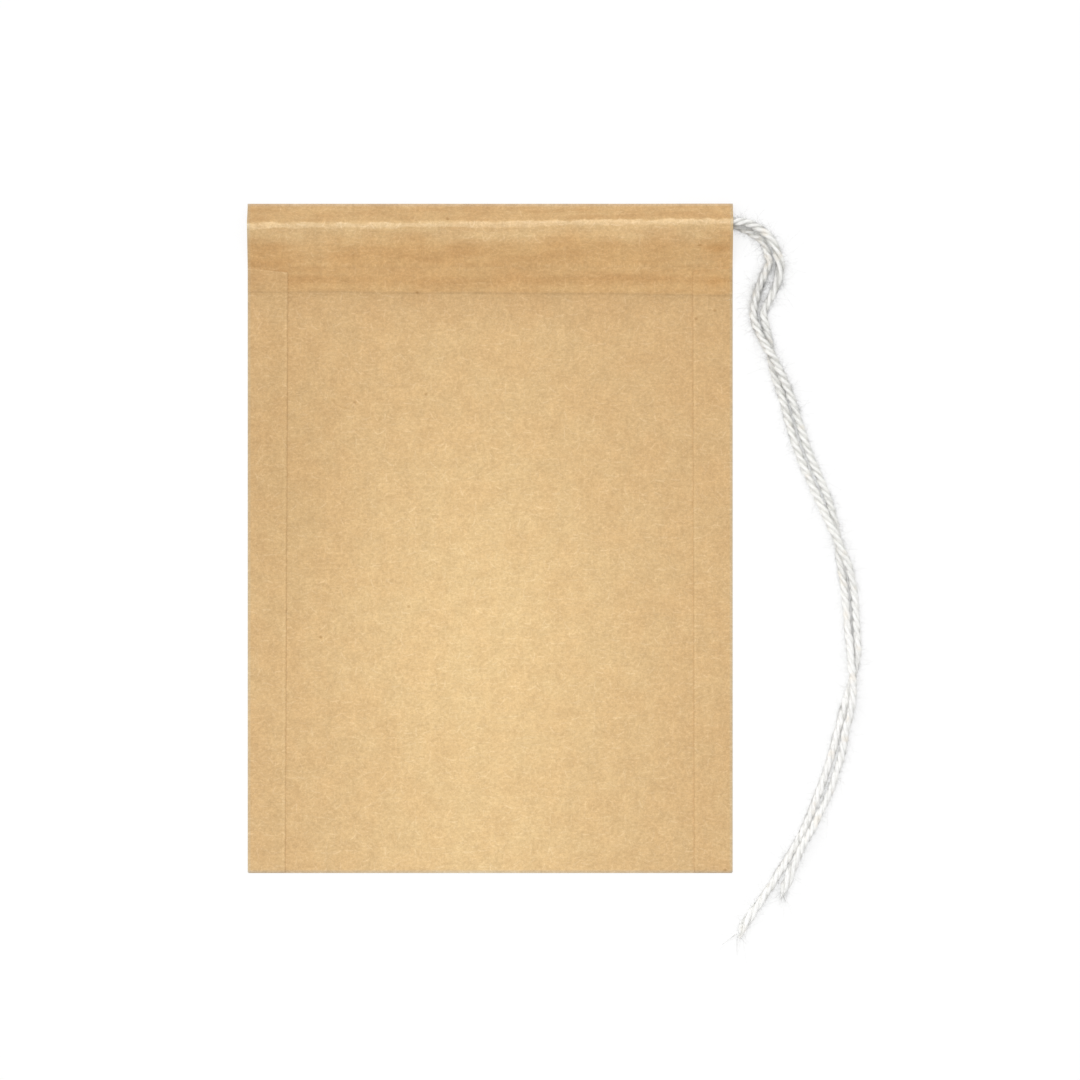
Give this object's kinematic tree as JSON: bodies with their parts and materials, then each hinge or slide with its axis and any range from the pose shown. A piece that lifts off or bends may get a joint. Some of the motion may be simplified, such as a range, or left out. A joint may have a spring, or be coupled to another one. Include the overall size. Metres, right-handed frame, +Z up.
{
  "type": "reusable tea bag",
  "caption": "Empty flat filter-paper tea bag with folded side flaps and turned-in hems at its mouth, closed by a cotton drawstring whose two ends lie loose beside it.",
  "frame": {"origin": "centre of the underside of the paper bag, on the surface that it lies on", "axes": "+X across the bag, towards the side where the string leaves; +Y up the bag, from the bottom fold to the mouth; +Z up, out of the face with the side flaps"},
  "size_m": [0.0822, 0.0987, 0.003],
  "materials": {
    "filter_paper": "matt, unbleached, mottled",
    "cotton_string": "matt, off-white, plied"
  },
  "bodies": {
    "root": {"paper_bag": "filter_paper", "drawstring": "cotton_string"}
  },
  "joints": []
}
